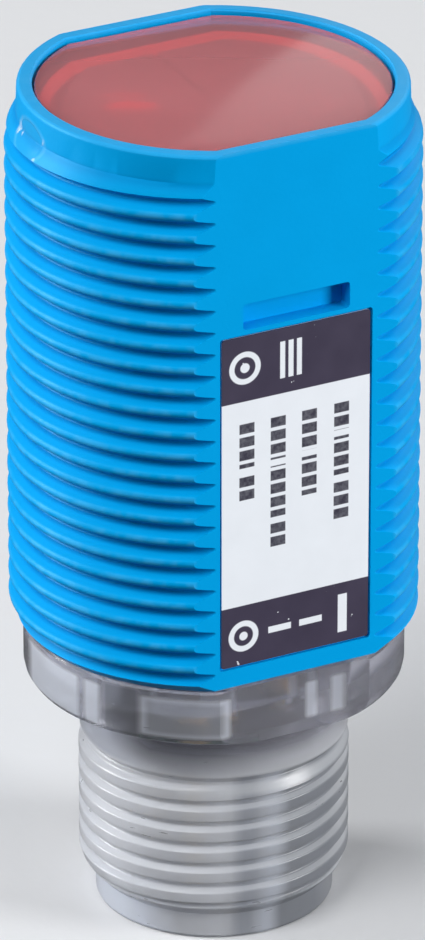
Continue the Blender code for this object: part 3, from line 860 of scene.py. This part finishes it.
def floor_finish(settings):
    """Pale matt board."""
    g = Graph("pale board")
    cloud = g.noise(6, detail=3)
    fleck = g.noise(900, detail=2)
    colour = tuple(settings.floor_colour)
    g.set(
        Base_Color=g.mix(cloud, shade(colour, 0.985), colour),
        Roughness=fleck * 0.1 + 0.7,
    )
    g.bump(fleck, 0.00002)
    return g.material


# Sizes and colours that can be changed


def length(name, description, default):
    return bpy.props.FloatProperty(
        name=name, description=description, default=default, min=0.0, unit="LENGTH"
    )


def tint(name, description, default):
    return bpy.props.FloatVectorProperty(
        name=name, description=description, default=default, size=3, min=0.0, max=1.0, subtype="COLOR"
    )


def share(name, description, default):
    return bpy.props.FloatProperty(
        name=name, description=description, default=default, min=0.0, max=1.0, subtype="FACTOR"
    )


def watts(name, description, default):
    return bpy.props.FloatProperty(name=name, description=description, default=default, min=0.0)


class SleeveSettings(bpy.types.PropertyGroup):
    colour: tint("Plastic", "Colour of the sleeve's plastic", srgb(0, 158, 226))
    # This colour is also used for the painted highlight on the rim edge.
    rubbed_and_highlight_colour: tint("Rubbed plastic", "Colour of the rubbed thread crests", srgb(120, 205, 245))
    adhesive_colour: tint("Adhesive", "Colour of the adhesive on the screen's ledge", (0.38, 0.40, 0.50))
    roughness: share("Roughness", "How matt the plastic is", 0.42)
    crest_radius: length("Crest radius", "Outer radius of the sleeve's thread", SLEEVE_HIGH.x)
    root_radius: length("Root radius", "Radius at the thread's root and of the collar", 8.39 * MM)
    pitch: length("Pitch", "Height that the thread climbs in one turn", 1.0 * MM)
    valley: length("Valley height", "Height at which a valley crosses +X", 34.75 * MM)
    thread_top: length("Thread top", "Height at which the thread ends", 37.25 * MM)
    lead_in: length("Lead-in", "Length over which the thread rises to full depth", 1.35 * MM)


class PlugSettings(bpy.types.PropertyGroup):
    colour: tint("Clear plastic", "Tint of the clear plastic", (0.66, 0.66, 0.74))
    milk_colour: tint("Milky plastic", "Tint of the threaded end", (0.86, 0.88, 0.93))
    milky_from: length("Milky from", "Height below which the plastic turns milky", 8.9 * MM)
    roughness: share("Roughness", "How hazy the clear plastic is", 0.2)
    clarity: share("Clarity", "Share of light that passes through the plastic", 0.85)
    crest_radius: length("Crest radius", "Outer radius of the plug's thread", 5.93 * MM)
    root_radius: length("Root radius", "Radius at the plug thread's root", 5.63 * MM)
    valley: length("Valley height", "Height at which a valley crosses +X", 7.17 * MM)
    flange_radius: length("Flange radius", "Radius of the round flange under the sleeve", 8.38 * MM)


class ScreenSettings(bpy.types.PropertyGroup):
    colour: tint("Screen", "Tint of the front screen", (0.80, 0.32, 0.345))
    roughness: share("Roughness", "How matt the screen's surface is", 0.08)
    clarity: share("Clarity", "Share of light that passes through the screen", 0.6)
    seal_colour: tint("Seal", "Colour of the bead under the screen", (0.86, 0.12, 0.12))


class LabelSettings(bpy.types.PropertyGroup):
    paper: tint("Paper", "Colour of the label's plain middle", srgb(238, 243, 250))
    band: tint("Band", "Colour of the printed bands", srgb(62, 56, 76))
    ink: tint("Ink", "Colour of the printed dashes", srgb(52, 50, 66))


class StageSettings(bpy.types.PropertyGroup):
    floor_colour: tint("Floor", "Colour of the floor", (0.74, 0.75, 0.77))
    top_light: watts("Top light", "Power of the large soft light above", 4.6)
    left_light: watts("Left light", "Power of the tall light on the left", 8.0)
    right_light: watts("Right light", "Power of the tall light on the right", 7.8)
    card_light: watts("Card", "Power of the dim card behind, which the screen mirrors", 0.3)
    sky: share("Sky", "Strength of the even light from all round", 0.1)


def settings_of(context, name):
    return getattr(context.scene, "sensor_" + name)


# Pieces


def require_closed(obj):
    """Stops with an error if the mesh has an open or doubled edge."""
    uses = {}
    for face in obj.data.polygons:
        for key in face.edge_keys:
            uses[key] = uses.get(key, 0) + 1
    faulty = sum(1 for count in uses.values() if count != 2)
    if faulty:
        raise RuntimeError(f"{obj.name} has {faulty} edges that don't join two faces")


def soft_light(name, power, size, spot, aim):
    """A rectangular area light at a spot, turned to face the aim."""
    deselect()
    bpy.ops.object.light_add(type="AREA", location=spot)
    light = named(name)
    light.data.shape = "RECTANGLE"
    light.data.size, light.data.size_y = size
    light.data.energy = power
    light.rotation_euler = (aim - spot).to_track_quat("-Z", "Y").to_euler()
    light.visible_camera = False


def cut(obj, *tools):
    for tool in tools:
        boolean(obj, tool)


class SENSOR_OT_sleeve(bpy.types.Operator):
    """Model the threaded sleeve with its flats, tool pocket and label recess"""

    bl_idname = "sensor.sleeve"
    bl_label = "Threaded sleeve"

    def execute(self, context):
        own = settings_of(context, "sleeve")
        bottom, top = SLEEVE_LOW.z, SLEEVE_HIGH.z
        depth = own.crest_radius - own.root_radius

        def envelope(height):
            chamfered = own.root_radius + max(0.0, height - bottom)
            into_lead = (own.thread_top - height) / own.lead_in
            if into_lead >= 1:
                return min(chamfered, own.crest_radius)
            return own.root_radius + math.sin(math.pi / 2 * max(0.0, into_lead)) * depth

        crest_flat, crest_rounding, root_rounding = 0.27 * MM, 0.22 * MM, 0.1 * MM
        form = thread_form(
            own.crest_radius, own.root_radius, own.pitch, crest_flat, crest_rounding, root_rounding
        )
        shell = threaded_bar(
            "sleeve_shell", form, own.pitch, own.valley, bottom, own.thread_top, envelope
        )
        rounding = 0.22 * MM
        collar = [(own.root_radius, top - rounding)]
        collar += quarter_round(own.root_radius, top, rounding, rising=True)
        grow_end(shell, own.thread_top, collar)
        flat = SLEEVE_HIGH.y
        reach = 4 * own.crest_radius
        boolean(shell, slab("flats", (reach, 2 * flat, 4 * top), (0, 0, top / 2)), "INTERSECT")
        over = 0.5 * MM
        edge = 0.08 * MM
        bore_end, ledge_top = 35.1 * MM, 36.1 * MM
        bore_radius, bore_flat = 7.4 * MM, 6.35 * MM
        neck_radius, neck_flat = 6.5 * MM, 5.6 * MM
        window_radius, window_flat = 7.7 * MM, 6.85 * MM
        pocket_size = (5.1 * MM, 1.5 * MM, 1.2 * MM)
        pocket_middle, pocket_rounding = 30.9 * MM, 0.16 * MM
        recess_size = (7.3 * MM, 0.36 * MM, 15.57 * MM)
        recess_middle, recess_rounding = 22.315 * MM, 0.14 * MM
        cut(
            shell,
            flatted_plate("bore", bore_radius, bore_flat, bottom - over, bore_end),
            flatted_plate("ledge", neck_radius, neck_flat, bore_end - over, ledge_top + over),
            flatted_plate("window", window_radius, window_flat, ledge_top, top + over),
            flatted_plate(
                "window_edge",
                window_radius + edge,
                window_flat + edge,
                top - edge,
                top + over,
                edge,
                rim="BOTTOM",
            ),
            slab(
                "pocket",
                pocket_size,
                (0, -flat, pocket_middle),
                pocket_rounding,
                lambda start, end: abs(start.y - end.y) > pocket_size[1] / 2,
            ),
            slab(
                "label_recess",
                recess_size,
                (0, -flat, recess_middle),
                recess_rounding,
                lambda start, end: abs(start.y - end.y) > recess_size[1] / 2,
            ),
        )
        require_closed(shell)
        smooth(shell)
        finish_piece(shell, sleeve_plastic(own), "sleeve_blue", "housing_sleeve")
        return {"FINISHED"}


class SENSOR_OT_plug_body(bpy.types.Operator):
    """Model the clear rear body: threaded plug end, shank, flange and spigot"""

    bl_idname = "sensor.plug_body"
    bl_label = "Clear plug body"

    def execute(self, context):
        own = settings_of(context, "plug")
        low, high, run_in = 1.65 * MM, 7.9 * MM, 0.5 * MM
        depth = own.crest_radius - own.root_radius

        def envelope(height):
            rise = min(1.0, (high - height) / run_in, (height - low) / run_in)
            return own.root_radius + max(0.0, rise) * depth

        pitch, crest_flat, corner = 1.0 * MM, 0.48 * MM, 0.08 * MM
        form = thread_form(own.crest_radius, own.root_radius, pitch, crest_flat, corner, corner)
        body = threaded_bar("plug_body", form, pitch, own.valley, low, high, envelope)
        nose, nose_top, edge = 5.25 * MM, 1.2 * MM, 0.15 * MM
        grow_end(
            body,
            low,
            [(nose, nose_top), (nose, edge), (nose - edge / 3, edge / 3), (nose - edge, 0.0)],
        )
        flange = own.flange_radius
        under, flange_top = 10.8 * MM, 13.55 * MM
        rounding, relief, fillet = 0.7 * MM, 0.3 * MM, 0.1 * MM
        stations = [
            (own.crest_radius, high + relief),
            (own.crest_radius, under - fillet),
            (own.crest_radius + fillet, under),
            (flange - rounding, under),
        ]
        stations += quarter_round(flange, under, rounding, rising=False)
        stations += [(flange, flange_top - fillet), (flange - fillet, flange_top)]
        grow_end(body, high, stations)
        flat = REAR_HIGH.y
        boolean(body, slab("flats", (1.0, 2 * flat, 1.0), (0, 0, 0)), "INTERSECT")
        spigot_radius, spigot_flat, spigot_low = 7.25 * MM, 6.2 * MM, 12.0 * MM
        spigot = flatted_plate("spigot", spigot_radius, spigot_flat, spigot_low, REAR_HIGH.z, edge)
        boolean(body, spigot, "UNION")
        groove_low, groove_high, over = 15.0 * MM, 16.2 * MM, 0.5 * MM
        floor_radius, floor_flat = 6.75 * MM, 5.7 * MM
        clear_radius, clear_flat = 7.6 * MM, 6.6 * MM
        groove = flatted_plate("groove", clear_radius, clear_flat, groove_low, groove_high)
        boolean(
            groove,
            flatted_plate("groove_floor", floor_radius, floor_flat, groove_low - over, groove_high + over),
        )
        cavity_radius, cavity_flat = 6.3 * MM, 5.3 * MM
        cavity_low, cavity_high, cavity_rounding = 11.7 * MM, 18.5 * MM, 0.25 * MM
        cavity = flatted_plate(
            "cavity",
            cavity_radius,
            cavity_flat,
            cavity_low,
            cavity_high,
            cavity_rounding,
            rim="BOTTOM",
        )
        cup_radius, seat_radius = 4.4 * MM, 4.9 * MM
        below, lip, seat, inside = -0.3 * MM, 0.2 * MM, 8.0 * MM, 12.0 * MM
        cup = turned(
            "cup",
            [
                (0.0, below),
                (cup_radius + lip - below, below),
                (cup_radius, lip),
                (cup_radius, seat),
                (seat_radius, seat),
                (seat_radius, inside),
                (0.0, inside),
            ],
        )
        cut(body, groove, cavity, cup)
        rib_size, rib_middle = (1.2 * MM, 1.115 * MM, 6.5 * MM), (0, 4.3575 * MM, 4.45 * MM)
        rib_rounding = 0.12 * MM
        rib = slab(
            "rib",
            rib_size,
            rib_middle,
            rib_rounding,
            lambda start, end: min(start.y, end.y) < rib_middle[1],
        )
        boolean(body, rib, "UNION")
        require_closed(body)
        smooth(body)
        finish_piece(body, clear_plastic(own), "body_clear", "rear_body")
        return {"FINISHED"}


class SENSOR_OT_screen(bpy.types.Operator):
    """Model the rose front screen and the red bead under it"""

    bl_idname = "sensor.screen"
    bl_label = "Front screen"

    def execute(self, context):
        own = settings_of(context, "screen")
        radius, flat = SCREEN_HIGH.x, SCREEN_HIGH.y
        lens = flatted_plate("screen_lens", radius, flat, SCREEN_LOW.z, SCREEN_HIGH.z, 0.1 * MM, rim="BOTH")
        require_closed(lens)
        smooth(lens)
        finish_piece(lens, screen_plastic(own), "screen_rose", "front_screen")
        bead = flatted_plate(
            "seal_bead", SEAL_HIGH.x, SEAL_HIGH.y, SEAL_LOW.z, SEAL_HIGH.z, 0.15 * MM, rim="BOTH"
        )
        width = 0.45 * MM
        cut(
            bead,
            flatted_plate(
                "inside", SEAL_HIGH.x - width, SEAL_HIGH.y - width, SEAL_LOW.z - width, SEAL_HIGH.z + width
            ),
        )
        require_closed(bead)
        smooth(bead, math.radians(50))
        finish_piece(bead, seal_bead_finish(own), "seal_red", "screen_seal")
        return {"FINISHED"}


class SENSOR_OT_lenses(bpy.types.Operator):
    """Model the two half-round lenses behind the screen"""

    bl_idname = "sensor.lenses"
    bl_label = "Lenses"

    def execute(self, context):
        finish = lens_finish()
        for name in ("emitter_lens", "receiver_lens"):
            low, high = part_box(name)
            side = 1 if low.x > 0 else -1
            outer = max(abs(low.x), abs(high.x))
            inner = min(abs(low.x), abs(high.x))
            plate = flatted_plate(name + "_dome", outer, high.y, low.z, high.z)
            activate(plate)
            half = slab(
                "half",
                (outer, 4 * high.y, 4 * high.z),
                (side * (inner + outer / 2), 0, high.z),
            )
            boolean(plate, half, "INTERSECT")
            crown = 1.3 * MM
            reach = high.y
            ball_radius = (reach * reach + crown * crown) / (2 * crown)
            deselect()
            bpy.ops.mesh.primitive_uv_sphere_add(
                segments=96,
                ring_count=96,
                radius=ball_radius,
                location=(side * (inner + outer) / 2, 0, high.z - ball_radius),
            )
            ball = named("ball")
            bpy.ops.object.transform_apply(location=True, rotation=False, scale=False)
            boolean(plate, ball, "INTERSECT")
            require_closed(plate)
            smooth(plate, math.radians(30))
            finish_piece(plate, finish, "lens_clear", name)
        return {"FINISHED"}


class SENSOR_OT_label(bpy.types.Operator):
    """Model the label film with its rounded corners and print"""

    bl_idname = "sensor.label"
    bl_label = "Rating label"

    def execute(self, context):
        size = LABEL_HIGH - LABEL_LOW
        film = slab(
            "label_film",
            size,
            (LABEL_HIGH + LABEL_LOW) / 2,
            0.12 * MM,
            lambda start, end: abs(start.y - end.y) > size.y / 2,
        )
        require_closed(film)
        smooth(film, math.radians(35))
        finish_piece(film, label_print(settings_of(context, "label")), "label_film", "rating_label")
        return {"FINISHED"}


class SENSOR_OT_contacts(bpy.types.Operator):
    """Model one plated pin and place its four copies in the plug"""

    bl_idname = "sensor.contacts"
    bl_label = "Contact pins"

    def execute(self, context):
        low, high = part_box("contact_pin_1")
        collar = CARRIER_HIGH.z + 0.05 * MM
        radius = 0.5 * MM
        tip_steps, tip_height = 6, 0.4 * MM
        ring_radius, ring_height, chamfer = 0.72 * MM, 0.4 * MM, 0.1 * MM
        profile = []
        for step in range(tip_steps + 1):
            turn = math.pi / 2 * step / tip_steps
            profile.append((radius * math.sin(turn), low.z + tip_height * (1 - math.cos(turn))))
        profile += [
            (radius, collar),
            (ring_radius, collar),
            (ring_radius, collar + ring_height),
            (radius, collar + ring_height),
            (radius, high.z - chamfer),
            (radius - chamfer, high.z),
            (0.0, high.z),
        ]
        pin = turned("pin", profile, 40)
        require_closed(pin)
        smooth(pin, math.radians(35))
        finish = metal("gold plate", (0.93, 0.66, 0.27), 0.28, (0.2, 0.2, 1.0))
        for number in range(1, 5):
            node = f"contact_pin_{number}"
            low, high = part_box(node)
            placed = copy_of(pin, f"plug_pin_{number}")
            activate(placed)
            placed.location = ((low.x + high.x) / 2, (low.y + high.y) / 2, 0)
            bpy.ops.object.transform_apply(location=True, rotation=False, scale=False)
            finish_piece(placed, finish, "contact_gold", node)
        bpy.data.objects.remove(pin, do_unlink=True)
        return {"FINISHED"}


class SENSOR_OT_inside(bpy.types.Operator):
    """Give the boards, optics and other inner pieces their finishes"""

    bl_idname = "sensor.inside"
    bl_label = "Inner pieces"

    def execute(self, context):
        black = moulded_plastic("black plastic", (0.014, 0.014, 0.016), 0.45, 0.000006)
        tinned = metal("tinned sheet", (0.66, 0.67, 0.69), 0.36)
        chips = ["control_chip", "output_chip", "regulator_chip"]
        lamps = ["power_led_front", "power_led_rear", "output_led_front", "output_led_rear"]
        finishes = (
            (foil_finish(), ["emitter_polariser", "receiver_polariser"]),
            (black, ["optics_carrier", "board_frame", "contact_carrier"]),
            (board_laminate(), ["optics_board", "main_board"]),
            (chip_resin(), chips + ["suppressor_diode", "receiver_photodiode"]),
            (tinned, ["receiver_shield"]),
            (indicator_body(), lamps + ["emitter_led"]),
            (seal_rubber(), ["rear_seal"]),
            (capacitor_ceramic(), [f"capacitor_{number}" for number in range(1, 5)]),
        )
        for finish, nodes in finishes:
            for node in nodes:
                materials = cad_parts[node].data.materials
                materials.clear()
                materials.append(finish)
        return {"FINISHED"}


class SENSOR_OT_stage(bpy.types.Operator):
    """Set up the floor, the soft lights and the camera"""

    bl_idname = "sensor.stage"
    bl_label = "Stage"

    def execute(self, context):
        own = settings_of(context, "stage")
        place = Vector((-155.7 * MM, -292.8 * MM, 177.36 * MM))
        aim = Vector((0, 0, 20.167 * MM))
        deselect()
        bpy.ops.mesh.primitive_plane_add(size=6.0, location=(0, 0, 0))
        floor = named("floor")
        edit_all(floor)
        bpy.ops.transform.translate(value=(0, 0, -0.02 * MM))
        leave_edit()
        floor.data.materials.append(floor_finish(own))
        floor.visible_diffuse = False
        floor.visible_glossy = False
        towards = math.atan2(place.y, place.x)
        lights = (
            ("top light", own.top_light, (0.5, 0.4), -35, 50, 0.9),
            ("left light", own.left_light, (0.3, 0.6), -100, 12, 0.8),
            ("right light", own.right_light, (0.3, 0.5), 70, 12, 0.8),
        )
        for name, power, size, turn, rise, away in lights:
            heading = towards + math.radians(turn)
            flat = away * math.cos(math.radians(rise))
            spot = aim + Vector(
                (flat * math.cos(heading), flat * math.sin(heading), away * math.sin(math.radians(rise)))
            )
            soft_light(name, power, size, spot, aim)
        back = Vector((-place.x, -place.y, 0)).normalized()
        side = Vector((back.y, -back.x, 0))
        behind, aside, above = 0.4, 0.195, 0.19
        card = back * behind + side * aside + Vector((0, 0, SCREEN_HIGH.z + above))
        soft_light("card", own.card_light, (0.4, 0.3), card, aim)
        world = bpy.data.worlds.new("studio")
        world.use_nodes = True
        background = world.node_tree.nodes["Background"]
        background.inputs["Color"].default_value = (0.93, 0.96, 1.0, 1.0)
        background.inputs["Strength"].default_value = own.sky
        context.scene.world = world
        bpy.ops.object.camera_add(location=place)
        camera = named("camera")
        camera.rotation_euler = (aim - place).to_track_quat("-Z", "Y").to_euler()
        camera.data.lens = 325.2
        camera.data.sensor_width = 36.0
        camera.data.shift_x = -0.0011
        camera.data.clip_start = 0.01
        context.scene.camera = camera
        context.scene.view_settings.view_transform = "Standard"
        return {"FINISHED"}


class SENSOR_PT_panel(bpy.types.Panel):
    """Lists the pieces of the sensor in the order they are made"""

    bl_idname = "SENSOR_PT_panel"
    bl_label = "Barrel Sensor"
    bl_space_type = "VIEW_3D"
    bl_region_type = "UI"
    bl_category = "Sensor"

    def draw(self, context):
        layout = self.layout
        for name, group in SETTINGS.items():
            box = layout.box()
            box.label(text=name.capitalize())
            for setting in group.__annotations__:
                box.prop(settings_of(context, name), setting)
        for piece in PIECES:
            layout.operator(piece.bl_idname)


SETTINGS = {
    "sleeve": SleeveSettings,
    "plug": PlugSettings,
    "screen": ScreenSettings,
    "label": LabelSettings,
    "stage": StageSettings,
}
PIECES = (
    SENSOR_OT_sleeve,
    SENSOR_OT_plug_body,
    SENSOR_OT_screen,
    SENSOR_OT_lenses,
    SENSOR_OT_label,
    SENSOR_OT_contacts,
    SENSOR_OT_inside,
    SENSOR_OT_stage,
)


def register():
    for group in SETTINGS.values():
        bpy.utils.register_class(group)
    for piece in (*PIECES, SENSOR_PT_panel):
        bpy.utils.register_class(piece)
    for name, group in SETTINGS.items():
        setattr(bpy.types.Scene, "sensor_" + name, bpy.props.PointerProperty(type=group))


def unregister():
    for name in SETTINGS:
        delattr(bpy.types.Scene, "sensor_" + name)
    for piece in (SENSOR_PT_panel, *reversed(PIECES)):
        bpy.utils.unregister_class(piece)
    for group in reversed(SETTINGS.values()):
        bpy.utils.unregister_class(group)


def main():
    register()
    bpy.ops.sensor.sleeve()
    bpy.ops.sensor.plug_body()
    bpy.ops.sensor.screen()
    bpy.ops.sensor.lenses()
    bpy.ops.sensor.label()
    bpy.ops.sensor.contacts()
    bpy.ops.sensor.inside()
    bpy.ops.sensor.stage()


if __name__ == "__main__":
    main()
